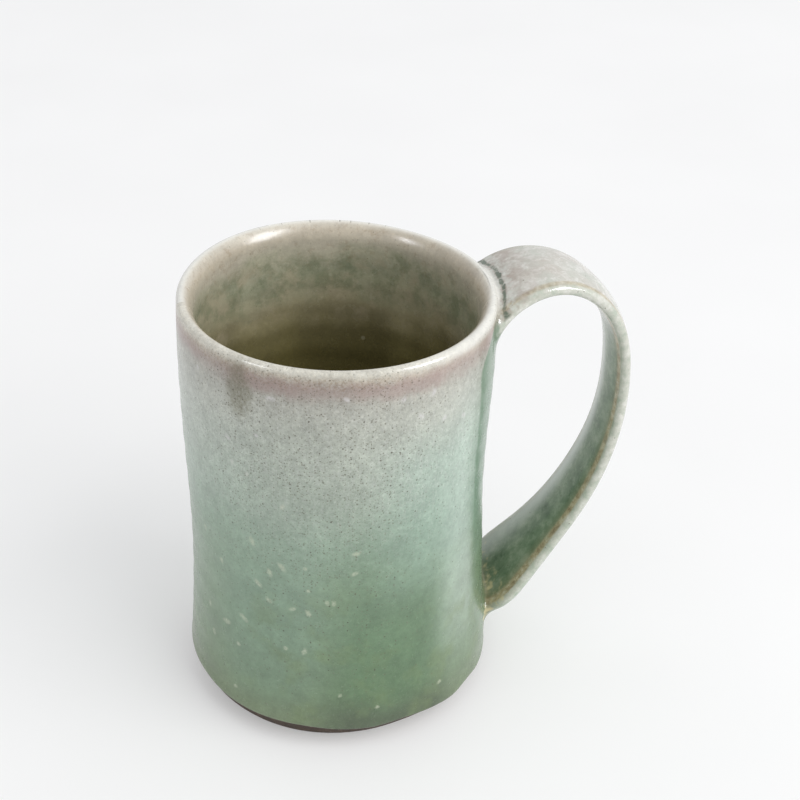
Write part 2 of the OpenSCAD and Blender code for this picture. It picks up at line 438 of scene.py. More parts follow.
# ------------------------------------------------------------------- liner
def liner_coat():
    zt = rim_z(AZ) - SEAM
    z0 = FLOOR + WELL
    rows = []
    for x in np.linspace(0, 1, 104):
        z = zt + (z0 - zt) * x
        rows.append(ring(inner_r(AZ, z), z))
    for t in np.linspace(0, 1, 15)[1:]:
        rows.append(floor_ring(t, 0))
    for t in np.linspace(1, 1.985, 44)[1:]:
        rows.append(floor_ring(t, 0))
    n_top = len(rows)
    for t in np.linspace(1.985, 1, 6)[:-1]:
        r = floor_ring(t, SKIN); rows.append(r)
    for t in np.linspace(1, 0, 8)[:-1]:
        rows.append(floor_ring(t, SKIN))
    for x in np.linspace(1, 0, 26):
        z = zt + (z0 - zt) * x
        rows.append(ring(inner_r(AZ, z) + SKIN, z))
    verts = np.array(rows).reshape(-1, 3)
    n = len(rows)
    faces = quads(n, NA, True)
    # close the middle of the floor: two small discs instead of the strip between them
    a = (n_top - 1) * NA
    b = n_top * NA
    drop = set(range((n_top - 1) * NA, n_top * NA))
    faces = [f for i, f in enumerate(faces) if i not in drop]
    verts = np.vstack([verts, [0, 0, verts[a:a + NA, 2].mean()], [0, 0, verts[b:b + NA, 2].mean()]])
    c1, c2 = len(verts) - 2, len(verts) - 1
    for j in range(NA):
        k = (j + 1) % NA
        faces.append((a + j, a + k, c1))
        faces.append((b + k, b + j, c2))
    return make("liner_glaze_coat", verts, faces, sharp=50)


# --------------------------------------------------------------- clay body
def clay_body():
    zg = glaze_line(AZ)
    dx, dy = FOOT_SHIFT

    def foot(r, z, k=1.0):
        p = ring(r + 0 * CA, z)
        p[:, 0] += dx * k
        p[:, 1] += dy * k
        return p
    rows = []
    r_in = FOOT_R - FOOT_W
    # trimmed hollow with faint tool rings, then the ring it stands on
    for r in np.linspace(0.4, r_in - 1.4, 46):
        rows.append(foot(r, FOOT_UP + 0.07 * math.sin(TAU * r / 2.3) + 0 * CA))
    for t in np.linspace(0, 1, 5)[1:]:
        rows.append(foot(r_in - 1.4 + 1.1 * t, FOOT_UP * (1 - t) ** 1.5 + 0.0 * CA + 0.18 * (1 - t)))
    rows.append(foot(r_in + 0.1, 0.0 + 0 * CA))
    for r in np.linspace(r_in + 0.6, FOOT_R - 0.8, 8):
        rows.append(foot(r, 0.0 * CA))
    rows.append(foot(FOOT_R - 0.25, 0.07 + 0 * CA))
    rows.append(foot(FOOT_R, 0.35 + 0 * CA))
    top_r = wall_r(AZ, zg) - SKIN
    for t in np.linspace(0, 1, 22)[1:]:
        z = 0.35 + (zg - 0.35) * t
        k = 1 - t
        r = FOOT_R + (top_r - FOOT_R) * t
        r = r + 0.35 * math.sin(math.pi * t) + 0.06 * np.sin(TAU * z / 0.9 + 2 * np.radians(AZ)) * math.sin(math.pi * t)
        rows.append(foot(r, z, k))
    for x in np.linspace(0, 1, 40)[1:]:
        z = zg + (lip_z(AZ) - zg) * x
        rows.append(ring(wall_r(AZ, z) - SKIN - 0.01, z))
    for a in np.linspace(0, 180, 19)[1:]:
        rows.append(lip_ring(a, SKIN + 0.01))
    z0 = FLOOR + WELL
    zt = rim_z(AZ) - SEAM
    for x in np.linspace(0, 1, 34)[1:]:
        z = zt + (z0 - zt) * x
        rows.append(ring(inner_r(AZ, z) + SKIN + 0.01, z))
    for t in np.linspace(0, 1, 10)[1:]:
        rows.append(floor_ring(t, SKIN + 0.01))
    for t in np.linspace(1, 1.985, 8)[1:]:
        rows.append(floor_ring(t, SKIN + 0.01))
    verts = np.array(rows).reshape(-1, 3)
    n = len(rows)
    faces = quads(n, NA)
    verts = np.vstack([verts, [dx, dy, FOOT_UP], [0, 0, verts[(n - 1) * NA:, 2].mean()]])
    c1, c2 = len(verts) - 2, len(verts) - 1
    for j in range(NA):
        k = (j + 1) % NA
        faces.append((k, j, c1))
        faces.append(((n - 1) * NA + j, (n - 1) * NA + k, c2))
    return make("clay_body", verts, faces, sharp=42)


# ------------------------------------------------------------------- strap
def strap_coat():
    top, edge_t, s_a = bow(0.0, 0.0, True)
    low, edge_l, s_b = bow(0.0, 0.0, False)
    run = lined(s_a, s_b, 230, 0.0)
    m = run.shape[1]

    def cap(edge):
        """Rings under the wall's surface, from the middle of the joint out to its edge."""
        c = edge.mean(0)
        return [from_wall(c + (edge - c) * k, 0.28) for k in (0.15, 0.4, 0.65, 0.85)] + [from_wall(edge + (edge - c) / (np.linalg.norm(edge - c, axis=1)[:, None] + 1e-9) * 0.5, 0.28)]
    cap_t, cap_l = cap(edge_t), cap(edge_l)[::-1]
    rings = cap_t + list(top[:-1]) + list(run) + list(low[::-1][1:]) + cap_l
    n_run = len(run)
    s_mid = np.linspace(0, 1, n_run)
    nb = len(top) - 1
    wall = [1.0] * len(cap_t) + list(1 - ease(np.linspace(0, 1, nb + 1)[:-1])) + [0.0] * n_run + list(ease(np.linspace(0, 1, nb + 1)[1:])) + [1.0] * len(cap_l)
    along = [0.0] * (len(cap_t) + nb) + list(s_mid) + [1.0] * (len(cap_l) + nb)
    k = np.linspace(0, 1, nb + 1)[:-1]
    crease = [0.0] * len(cap_t) + list(np.exp(-((k - 0.80) / 0.26) ** 2)) + list(0.55 * np.exp(-(np.arange(n_run) / 2.2) ** 2)) + [0.0] * (nb + len(cap_l))
    pool = [0.0] * (len(cap_t) + nb + n_run) + list(np.exp(-((np.linspace(0, 1, nb + 1)[1:] - 0.45) / 0.3) ** 2)) + [0.0] * len(cap_l)
    n = len(rings)
    verts = np.array(rings).reshape(-1, 3)
    faces = quads(n, m)
    verts = np.vstack([verts, from_wall(edge_t.mean(0)[None], 0.28), from_wall(edge_l.mean(0)[None], 0.28)])
    c1, c2 = len(verts) - 2, len(verts) - 1
    for j in range(m):
        kk = (j + 1) % m
        faces.append((kk, j, c1))
        faces.append(((n - 1) * m + j, (n - 1) * m + kk, c2))
    face = np.tile(FACE, n)
    edge = np.tile(np.clip(np.abs(u_ref[0]) / np.abs(u_ref[0]).max(), 0, 1), n)
    lateral = np.tile(u_ref[0] / np.abs(u_ref[0]).max(), n)
    pad = np.zeros(2)
    att = {"face": np.r_[face, pad], "edge": np.r_[edge, pad], "lateral": np.r_[lateral, pad],
           "wall": np.r_[np.repeat(wall, m), 1, 1], "along": np.r_[np.repeat(along, m), 0, 1],
           "crease": np.r_[np.repeat(crease, m), pad], "pool": np.r_[np.repeat(pool, m), pad]}
    return make("strap_glaze", verts, faces, att, sharp=60)


def handle_clay():
    inset, sink = 0.45, 0.45
    s_top, s_low = meet(inset, sink)
    run = lined(s_top, s_low, 90, inset)
    m = run.shape[1]
    n = len(run)
    verts = run.reshape(-1, 3)
    verts = np.vstack([verts, run[0].mean(0), run[-1].mean(0)])
    # seat the end faces on the wall
    for c, rg in ((len(verts) - 2, run[0]), (len(verts) - 1, run[-1])):
        az = math.degrees(math.atan2(verts[c][1], verts[c][0]))
        r = float(cup_r(np.array(az), np.array(verts[c][2]))) - sink
        verts[c] = [r * math.cos(math.radians(az)), r * math.sin(math.radians(az)), verts[c][2]]
    faces = quads(n, m)
    for j in range(m):
        k = (j + 1) % m
        faces.append((k, j, n * m))
        faces.append(((n - 1) * m + j, (n - 1) * m + k, n * m + 1))
    return make("handle_clay", verts, faces)


def join_clay(name, top):
    """The worked-in coil round one end of the strap, as a closed ring under the glaze."""
    inset, sink = 0.42, 0.42
    rings, edge, s_far = bow(inset, sink, top, blend=0.9, n=8)
    s_top, s_low = meet(inset, sink)
    s_hit = s_top if top else s_low
    back = lined(s_far, s_hit, 4, 0.47)
    rows = list(rings) + list(back)
    m = rings.shape[1]
    faces = quads(len(rows), m, True, flip=not top)
    return make(name, np.array(rows).reshape(-1, 3), faces)


def orient(o):
    """Faces point outward."""
    import bmesh
    b = bmesh.new()
    b.from_mesh(o.data)
    bmesh.ops.recalc_face_normals(b, faces=b.faces)
    b.to_mesh(o.data)
    b.free()
    return o


coat = orient(outside_coat())
liner = orient(liner_coat())
clay = orient(clay_body())
strap = orient(strap_coat())
inner_strap = orient(handle_clay())
join_top = orient(join_clay("upper_join", True))
join_low = orient(join_clay("lower_join", False))


# ================================================================= materials
def lin(rgb):
    out = []
    for c in rgb:
        c = c / 255
        out.append(c / 12.92 if c <= 0.04045 else ((c + 0.055) / 1.055) ** 2.4)
    return (*out, 1.0)


class Tree:
    """Short names for the shader nodes used below."""

    def __init__(self, material):
        material.use_nodes = True
        self.t = material.node_tree
        self.t.nodes.clear()
        self.out = self.t.nodes.new("ShaderNodeOutputMaterial")
        self.b = self.t.nodes.new("ShaderNodeBsdfPrincipled")
        self.t.links.new(self.b.outputs[0], self.out.inputs[0])
        self._mm = None

    def put(self, socket, value):
        if isinstance(value, bpy.types.NodeSocket):
            self.t.links.new(value, socket)
        elif value is not None:
            socket.default_value = value

    def new(self, kind, **props):
        n = self.t.nodes.new(kind)
        for k, v in props.items():
            setattr(n, k, v)
        return n

    def mm(self):
        """Position in the row frame in millimetres."""
        if self._mm is None:
            c = self.new("ShaderNodeTexCoord")
            self._mm = self.vec("SCALE", c.outputs["Object"], scale=1000.0)
        return self._mm

    def vec(self, op, a, b=None, scale=None):
        n = self.new("ShaderNodeVectorMath", operation=op)
        self.put(n.inputs[0], a)
        if b is not None:
            self.put(n.inputs[1], b)
        if scale is not None:
            self.put(n.inputs[3], scale)
        return n.outputs["Value"] if op in ("LENGTH", "DOT_PRODUCT", "DISTANCE") else n.outputs["Vector"]

    def m(self, op, a, b=None, c=None, clamp=False):
        n = self.new("ShaderNodeMath", operation=op, use_clamp=clamp)
        for i, v in enumerate((a, b, c)):
            if v is not None:
                self.put(n.inputs[i], v)
        return n.outputs[0]

    def add(self, a, b): return self.m("ADD", a, b)
    def sub(self, a, b): return self.m("SUBTRACT", a, b)
    def mul(self, a, b): return self.m("MULTIPLY", a, b)
    def mad(self, a, b, c): return self.m("MULTIPLY_ADD", a, b, c)

    def xyz(self, v):
        n = self.new("ShaderNodeSeparateXYZ")
        self.put(n.inputs[0], v)
        return n.outputs

    def join(self, x, y, z):
        n = self.new("ShaderNodeCombineXYZ")
        for i, v in enumerate((x, y, z)):
            self.put(n.inputs[i], v)
        return n.outputs[0]

    def step(self, x, a, b, to0=0.0, to1=1.0):
        """Smooth from to0 at a to to1 at b; a may be above b."""
        n = self.new("ShaderNodeMapRange", interpolation_type="SMOOTHSTEP")
        if a > b:
            a, b, to0, to1 = b, a, to1, to0
        for k, v in (("Value", x), ("From Min", a), ("From Max", b), ("To Min", to0), ("To Max", to1)):
            self.put(n.inputs[k], v)
        return n.outputs[0]

    def hump(self, x, a, b, c, d):
        return self.mul(self.step(x, a, b), self.step(x, d, c))

    def noise(self, v, scale, detail=3.0, rough=0.55, distort=0.0):
        n = self.new("ShaderNodeTexNoise")
        self.put(n.inputs["Vector"], v)
        for k, x in (("Scale", scale), ("Detail", detail), ("Roughness", rough), ("Distortion", distort)):
            self.put(n.inputs[k], x)
        return n.outputs[0]

    def cells(self, v, scale, randomness=1.0, feature="F1", flat=False):
        n = self.new("ShaderNodeTexVoronoi", feature=feature, voronoi_dimensions="2D" if flat else "3D")
        self.put(n.inputs["Vector"], v)
        self.put(n.inputs["Scale"], scale)
        self.put(n.inputs["Randomness"], randomness)
        return n.outputs

    def mix(self, f, a, b, kind="MIX"):
        n = self.new("ShaderNodeMix", data_type="RGBA", blend_type=kind, clamp_factor=True)
        self.put(n.inputs[0], f)
        self.put(n.inputs[6], a)
        self.put(n.inputs[7], b)
        return n.outputs[2]

    def ramp(self, x, stops, kind="LINEAR"):
        n = self.new("ShaderNodeValToRGB")
        self.put(n.inputs[0], x)
        r = n.color_ramp
        r.interpolation = kind
        while len(r.elements) < len(stops):
            r.elements.new(0.5)
        for e, (p, c) in zip(r.elements, sorted(stops)):
            e.position, e.color = p, c
        return n.outputs[0]

    def gain(self, colour, value):
        n = self.new("ShaderNodeHueSaturation")
        self.put(n.inputs["Value"], value)
        self.put(n.inputs["Color"], colour)
        return n.outputs[0]

    def attr(self, name):
        return self.new("ShaderNodeAttribute", attribute_name=name).outputs["Fac"]

    def bump(self, height, distance, strength=1.0):
        n = self.new("ShaderNodeBump")
        self.put(n.inputs["Height"], height)
        n.inputs["Distance"].default_value = distance
        n.inputs["Strength"].default_value = strength
        return n.outputs[0]


def frame_coords(t):
    """Shared coordinates: position in mm, height, degrees round the cup, and the unrolled wall."""
    p = t.mm()
    x, y, z = t.xyz(p)[0:3]
    az = t.m("ARCTAN2", y, x)
    deg = t.mul(az, 180 / math.pi)
    wall = t.join(t.mul(az, 41.0), z, 0.0)
    return p, z, deg, wall


# Small pale crystals in the glaze: degrees, height, length, tilt
FLECKS = [(-132, 64.4, 1.5, 115), (-120, 58.7, 1.6, 130), (-125, 56.0, 1.3, 110), (-130, 51.3, 1.4, 135), (-148, 52.6, 1.0, 100),
          (-125.5, 46.8, 1.1, 140), (-116, 45.7, 1.0, 15), (-110, 45.0, 1.2, 120), (-103, 48.7, 0.8, 95), (-100.5, 48.7, 0.9, 85),
          (-137, 37.3, 1.6, 150), (-146.5, 32.5, 1.7, 10), (-155, 25.0, 1.1, 110), (-111.5, 32.0, 1.2, 70), (-119, 32.0, 0.7, 30),
          (-92.5, 64.9, 1.3, 10), (-93, 58.3, 1.1, 20), (-111, 59.5, 0.7, 90), (-119, 78.5, 1.0, 60), (-158.5, 59.0, 0.9, 95),
          (-158, 33.5, 0.9, 100), (-140, 27.3, 0.8, 160), (-65.2, 109.8, 1.2, 60), (-50, 98.5, 1.1, 130), (-156, 109.6, 0.8, 80),
          (-122.5, 110.2, 1.3, 5), (-96.5, 112.0, 0.9, 140), (-77, 110.0, 0.9, 70), (-110, 52.4, 0.5, 90), (-57, 13.5, 0.8, 10),
          (-84, 13.0, 0.7, 30), (-98, 18.0, 0.6, 60), (-140.5, 94.7, 1.0, 150), (-139, 87.5, 0.9, 70), (-70, 104.0, 1.1, 120),
          (-60, 101.0, 1.0, 45), (-128, 98.5, 0.6, 100), (-141, 12.5, 0.7, 20)]


def outside_colour(t, flecks=True):
    p, z, deg, wall = frame_coords(t)
    drift = t.noise(p, 0.035, 2.0, 0.5)
    zz = t.mad(t.sub(drift, 0.5), 9.0, z)
    h = t.m("DIVIDE", zz, 125.0)
    stops = [(0.0, (104, 100, 74)), (3.2, (106, 106, 80)), (6.0, (114, 128, 100)), (17, (115, 135, 107)), (27, (118, 139, 114)), (37, (123, 145, 121)),
             (47, (128, 149, 127)), (57, (133, 154, 133)), (67, (140, 160, 142)), (77, (156, 172, 157)), (87, (166, 178, 165)),
             (98, (174, 181, 170)), (106, (176, 178, 168)), (111.5, (172, 170, 160)), (114.4, (168, 158, 149)), (116.6, (184, 175, 160)),
             (117.9, (204, 200, 187)), (119.5, (212, 209, 197))]
    low = t.ramp(h, [(a / 125.0, lin(c)) for a, c in stops])
    # the last few millimetres under the lip follow the rim itself
    high = t.ramp(t.m("DIVIDE", t.mad(t.sub(t.noise(p, 0.25, 2.0), 0.5), 1.6, z), 125.0), [(a / 125.0, lin(c)) for a, c in stops])
    c = t.mix(t.step(z, 100, 109), low, high)
    # slow zones round the cup
    # deeper green low on the front: partly thicker glaze, partly painted shade
    green = t.mul(t.hump(deg, -114, -88, -68, -48), t.step(z, 94, 26))
    c = t.mix(t.mul(green, 0.68), c, lin((84, 114, 80)))
    # darker glaze along the bottom of the front, partly painted shade at the lower corner
    low_front_glaze_and_shade = t.mul(t.hump(deg, -112, -92, -64, -44), t.step(zz, 19, 8))
    c = t.mix(t.mul(low_front_glaze_and_shade, 0.75), c, lin((78, 86, 70)))
    # painted reflection: a pale vertical strip on the wall in front of the handle
    pale_reflection_strip = t.mul(t.mul(t.hump(deg, -62, -46, -40, -32), t.step(z, 112, 96)), t.step(z, 10, 40, 0.0, 0.9))
    c = t.mix(t.mul(pale_reflection_strip, 0.38), c, lin((192, 206, 194)))
    grey = t.mul(t.hump(deg, -150, -112, -92, -60), t.hump(zz, 62, 84, 100, 112))
    c = t.mix(t.mul(grey, 0.35), c, lin((152, 155, 143)))
    teal = t.mul(t.hump(deg, -95, -65, -45, -8), t.hump(zz, 40, 62, 88, 104))
    c = t.mix(t.mul(teal, 0.35), c, lin((158, 184, 170)))
    bluish = t.mul(t.hump(deg, -156, -136, -118, -98), t.hump(zz, 6, 22, 50, 70))
    c = t.mix(t.mul(bluish, 0.16), c, lin((116, 148, 134)))
    # cloudy patches
    cloud = t.noise(p, 0.09, 3.0, 0.6)
    c = t.gain(c, t.mad(t.sub(cloud, 0.5), 0.46, 1.0))
    c = t.gain(c, t.mad(t.mul(t.hump(deg, -178, -165, -140, -116), t.step(z, 84, 62)), 0.07, 1.0))
    blotch = t.noise(t.vec("ADD", p, (60, 12, 5)), 0.28, 3.0, 0.6)
    c = t.gain(c, t.mad(t.sub(blotch, 0.5), 0.40, 1.0))
    olive = t.mul(t.step(t.noise(t.vec("ADD", p, (7, 33, 15)), 0.075, 3.0, 0.6), 0.48, 0.66), t.mul(t.step(z, 66, 30), t.step(deg, -150, -116, 0.25, 1.0)))
    c = t.mix(t.mul(olive, 0.40), c, lin((116, 134, 92)))
    # fine running streaks and mottling of the milky layer
    high_up = t.mul(t.step(zz, 46, 100), t.step(deg, -76, -50, 1.0, 0.66))
    run = t.noise(t.vec("MULTIPLY", p, (1.4, 1.4, 0.35)), 0.9, 4.0, 0.65)
    fine = t.noise(p, 1.3, 3.0, 0.7)
    milk = t.mul(t.step(zz, 45, 95), t.step(t.add(t.mul(run, 0.5), t.mul(fine, 0.5)), 0.47, 0.60))
    c = t.mix(t.mul(milk, 0.20), c, lin((206, 208, 204)))
    c = t.gain(c, t.mad(t.sub(t.noise(p, 2.1, 2.0, 0.8), 0.5), t.mad(high_up, 0.50, 0.20), 1.0))
    c = t.gain(c, t.mad(t.sub(t.noise(t.vec("ADD", p, (17, 3, 8)), 0.8, 2.0, 0.6), 0.5), t.mad(high_up, 0.26, 0.34), 1.0))
    # hazy bloom of pale micro-crystals
    hz = t.mul(t.step(t.noise(t.vec("ADD", p, (2, 40, 8)), 2.6, 2.0, 0.75), 0.58, 0.72), t.mad(high_up, 0.34, 0.08))
    c = t.mix(hz, c, lin((214, 216, 210)))
    # mauve blush under the lip, broken and wandering, browner and speckled above
    wander = t.mad(t.sub(t.noise(p, 0.13, 4.0, 0.6), 0.5), 5.5, t.mad(t.sub(t.noise(p, 0.9, 2.0), 0.5), 2.2, z))
    blush = t.mul(t.hump(wander, 109.6, 113.2, 114.6, 117.4), t.step(t.noise(p, 0.06, 2.0), 0.32, 0.6, 0.35, 1.0))
    c = t.mix(t.mul(blush, 0.62), c, lin((160, 138, 132)))
    brown = t.mul(t.hump(z, 113.0, 114.8, 116.8, 118.3), t.step(t.noise(p, 1.6, 3.0, 0.75), 0.46, 0.62))
    brown = t.mul(brown, t.step(deg, -92, -62, 1.0, 0.25))
    c = t.mix(t.mul(brown, 0.42), c, lin((132, 110, 84)))
    # darker and browner to the left, paler to the right
    band = t.hump(z, 103.0, 111.5, 115.5, 118.5)
    c = t.gain(c, t.mad(t.mul(band, t.hump(deg, -156, -140, -104, -76)), -0.12, 1.0))
    c = t.gain(c, t.mad(t.mul(t.step(z, 112.5, 115.5), t.step(deg, -88, -62)), 0.08, 1.0))
    # painted highlight: a near-white streak just under the lip on the front-right
    c = t.mix(t.mul(t.mul(t.step(z, 115.4, 117.6), t.step(deg, -90, -36)), 0.55), c, lin((234, 234, 230)))
    # dark run of glaze near the rim
    da = t.m("DIVIDE", t.add(deg, t.mad(t.sub(t.noise(p, 0.35, 3.0), 0.5), 6.0, 135.0)), 5.4)
    dz = t.m("DIVIDE", t.add(z, t.mad(t.sub(t.noise(p, 0.3, 3.0), 0.5), 7.0, -110.0)), 7.6)
    run_d = t.add(t.mul(da, da), t.mul(dz, dz))
    smear = t.mul(t.step(run_d, 1.7, 0.05), t.step(t.noise(p, 1.2, 3.0, 0.7), 0.30, 0.6, 0.45, 1.0))
    c = t.mix(t.mul(smear, 0.66), c, lin((102, 98, 72)))
    # painted reflection of the handle: a darker green band on the wall next to the handle, up to the crease under the
    # lip
    side = t.m("ABSOLUTE", deg)
    reach = t.mad(z, 0.095, t.mad(t.sub(t.noise(p, 0.12, 2.0), 0.5), 3.0, 28.6))
    reach = t.sub(reach, t.step(z, 106, 117, 0.0, 14.0))
    off = t.m("DIVIDE", t.sub(side, reach), t.step(deg, -6, 6, 1.3, 6.0))
    handle_reflection_band = t.mul(t.step(off, 1.0, -1.0), t.mul(t.step(z, 118.0, 113.0), t.step(z, 36, 86, 0.16, 1.0)))
    c = t.mix(t.mul(handle_reflection_band, t.step(deg, -6, 6, 0.78, 0.6)), c, lin((106, 136, 112)))
    # iron specks: a dust of fine ones, fewer small ones and a few bold ones
    sector = t.add(t.add(0.24, t.mul(t.hump(deg, -160, -134, -86, -56), 0.78)), t.mul(t.hump(deg, 25, 70, 130, 170), 0.45))
    dense = t.mul(t.mul(t.step(zz, 12, 94, 0.12, 1.0), sector), t.step(t.noise(p, 0.09, 3.0), 0.34, 0.6, 0.5, 1.0))
    dense = t.mul(dense, t.step(z, 118.2, 116.8, 0.35, 1.0))
    for scale, share, small, spread, shift, tone, depth in (
            (1.60, 0.34, 0.16, 0.22, (0, 0, 0), (112, 108, 94), 0.42),
            (0.95, 0.36, 0.10, 0.17, (13.7, 4.1, 0), (96, 90, 75), 0.52),
            (0.60, 0.32, 0.06, 0.11, (8.1, 2.2, 0), (86, 80, 65), 0.58),
            (0.40, 0.36, 0.05, 0.06, (3.3, 21.9, 0), (70, 63, 50), 0.74)):
        v = t.cells(t.vec("ADD", wall, shift), scale, flat=True)
        pick = t.xyz(v["Color"])
        on = t.m("LESS_THAN", pick[0], t.mul(dense, share))
        size = t.mad(pick[1], spread, small)
        dot = t.mul(on, t.step(t.m("DIVIDE", v["Distance"], size), 1.2, 0.5))
        c = t.mix(t.mul(dot, depth), c, lin(tone))
    if flecks:
        warp = t.vec("SCALE", t.vec("SUBTRACT", t.new_colour_noise(wall, 1.3), (0.5, 0.5, 0.5)), scale=0.9)
        w = t.vec("ADD", wall, warp)
        best = None
        for a, fz, length, tilt in FLECKS:
            n = t.new("ShaderNodeMapping", vector_type="TEXTURE")
            t.put(n.inputs["Vector"], w)
            n.inputs["Location"].default_value = (math.radians(a) * 41, fz, 0)
            n.inputs["Rotation"].default_value = (0, 0, math.radians(tilt))
            n.inputs["Scale"].default_value = (length * 1.1, 0.42 + 0.28 * length, 1)
            d = t.vec("LENGTH", n.outputs[0])
            best = d if best is None else t.m("MINIMUM", best, d)
        mark = t.mul(t.step(best, 1.3, 0.35), t.step(t.noise(p, 1.5, 2.0), 0.3, 0.62, 0.4, 1.0))
        c = t.mix(t.mul(mark, 0.52), c, t.mix(t.step(z, 70, 100), lin((198, 204, 180)), lin((214, 211, 212))))
    # tiny random crystals
    v3 = t.cells(t.vec("ADD", t.vec("MULTIPLY", p, (1, 1, 0.6)), (3.1, 9.2, 1.7)), 0.17)
    on3 = t.m("LESS_THAN", t.xyz(v3["Color"])[2], t.step(zz, 40, 110, 0.03, 0.22))
    dot3 = t.mul(on3, t.step(v3["Distance"], 0.10, 0.045))
    c = t.mix(t.mul(dot3, 0.4), c, lin((216, 218, 208)))
    return c


def new_colour_noise(self, v, scale):
    n = self.new("ShaderNodeTexNoise")
    self.put(n.inputs["Vector"], v)
    self.put(n.inputs["Scale"], scale)
    self.put(n.inputs["Detail"], 2.0)
    return n.outputs[1]


Tree.new_colour_noise = new_colour_noise


def inside_colour(t):
    p, z, deg, wall = frame_coords(t)
    drift = t.noise(p, 0.05, 3.0, 0.55)
    zz = t.mad(t.sub(drift, 0.5), 16.0, z)
    stops = [(0, (118, 109, 66)), (30, (118, 109, 68)), (60, (106, 98, 58)), (80, (106, 99, 62)), (88, (118, 111, 78)), (95, (150, 143, 114)),
             (100, (166, 162, 136)), (105, (160, 162, 138)), (110, (184, 182, 160)), (114, (200, 193, 176)), (117, (194, 184, 166)), (119.5, (210, 204, 190))]
    c = t.ramp(t.m("DIVIDE", zz, 125.0), [(a / 125.0, lin(k)) for a, k in stops])
    top = t.ramp(t.m("DIVIDE", z, 125.0), [(a / 125.0, lin(k)) for a, k in stops])
    c = t.mix(t.step(z, 111, 116), c, top)
    cloud = t.noise(p, 0.12, 4.0, 0.62)
    c = t.gain(c, t.mad(t.sub(cloud, 0.5), 0.5, 1.0))
    # painted light and shade on the inside wall at mid depth: lighter round 24 to 60 and 92 to 136 degrees, darker
    # round 56 to 88 degrees
    inside_light_and_shade = t.hump(z, 66, 78, 90, 97)
    c = t.gain(c, t.mad(t.mul(inside_light_and_shade, t.add(t.hump(deg, 92, 104, 122, 136), t.hump(deg, 24, 36, 52, 60))), 0.26, 1.0))
    c = t.gain(c, t.mad(t.mul(inside_light_and_shade, t.hump(deg, 56, 64, 76, 88)), -0.10, 1.0))
    patch = t.mul(t.step(t.noise(p, 0.11, 4.0, 0.65), 0.46, 0.62), t.hump(z, 86, 96, 106, 113))
    c = t.mix(t.mul(patch, 0.5), c, lin((184, 173, 148)))
    green = t.mul(t.step(t.noise(t.vec("ADD", p, (31, 7, 3)), 0.19, 5.0, 0.7), 0.42, 0.64), t.hump(zz, 94, 101, 108, 114))
    c = t.mix(t.mul(green, 0.55), c, lin((116, 126, 98)))
    c = t.gain(c, t.mad(t.sub(t.noise(p, 0.7, 4.0, 0.7), 0.5), 0.40, 1.0))
    c = t.gain(c, t.mad(t.sub(t.noise(p, 2.2, 2.0, 0.75), 0.5), 0.26, 1.0))
    rust = t.mul(t.step(t.noise(t.vec("ADD", p, (4, 19, 6)), 0.5, 4.0, 0.7), 0.52, 0.66), t.step(z, 98, 116))
    c = t.mix(t.mul(rust, 0.30), c, lin((150, 126, 96)))
    v = t.cells(p, 0.7)
    dot = t.mul(t.m("LESS_THAN", t.xyz(v["Color"])[0], 0.24), t.step(v["Distance"], 0.17, 0.06))
    c = t.mix(t.mul(dot, 0.45), c, lin((92, 80, 58)))
    v2 = t.cells(t.vec("ADD", p, (5, 5, 9)), 0.12)
    dot2 = t.mul(t.m("LESS_THAN", t.xyz(v2["Color"])[0], 0.22), t.step(v2["Distance"], 0.10, 0.04))
    return t.mix(t.mul(dot2, 0.35), c, lin((196, 192, 168)))


def shine(t, roughness, texture, depth):
    """A hard clear gloss over the colour, with the faint ripple of a melted surface."""
    b = t.b
    b.inputs["IOR"].default_value = 1.52
    b.inputs["Specular IOR Level"].default_value = 0.5
    b.inputs["Coat Roughness"].default_value = 0.06
    b.inputs["Coat IOR"].default_value = 1.5
    t.put(b.inputs["Roughness"], roughness)
    t.put(b.inputs["Normal"], t.bump(texture, depth, 1.0))


def glaze_texture(t, p):
    a = t.noise(p, 0.55, 2.0, 0.5)
    b = t.noise(p, 2.6, 2.0, 0.5)
    return t.add(t.mul(a, 0.8), t.mul(b, 0.2))


def material_outside():
    mat = bpy.data.materials.new("outside_glaze")
    t = Tree(mat)
    p, z, deg, wall = frame_coords(t)
    out = outside_colour(t)
    inn = inside_colour(t)
    c = t.mix(t.attr("inner"), out, inn)
    # the glaze breaks to bare cream over the top of the lip
    t.put(t.b.inputs["Base Color"], c)
    rough = t.mad(t.noise(p, 0.4, 3.0), 0.16, 0.17)
    shine(t, rough, glaze_texture(t, p), 0.00005)
    return mat


def material_liner():
    mat = bpy.data.materials.new("liner_glaze")
    t = Tree(mat)
    p, z, deg, wall = frame_coords(t)
    t.put(t.b.inputs["Base Color"], inside_colour(t))
    shine(t, t.mad(t.noise(p, 0.4, 3.0), 0.16, 0.18), glaze_texture(t, p), 0.00005)
    return mat


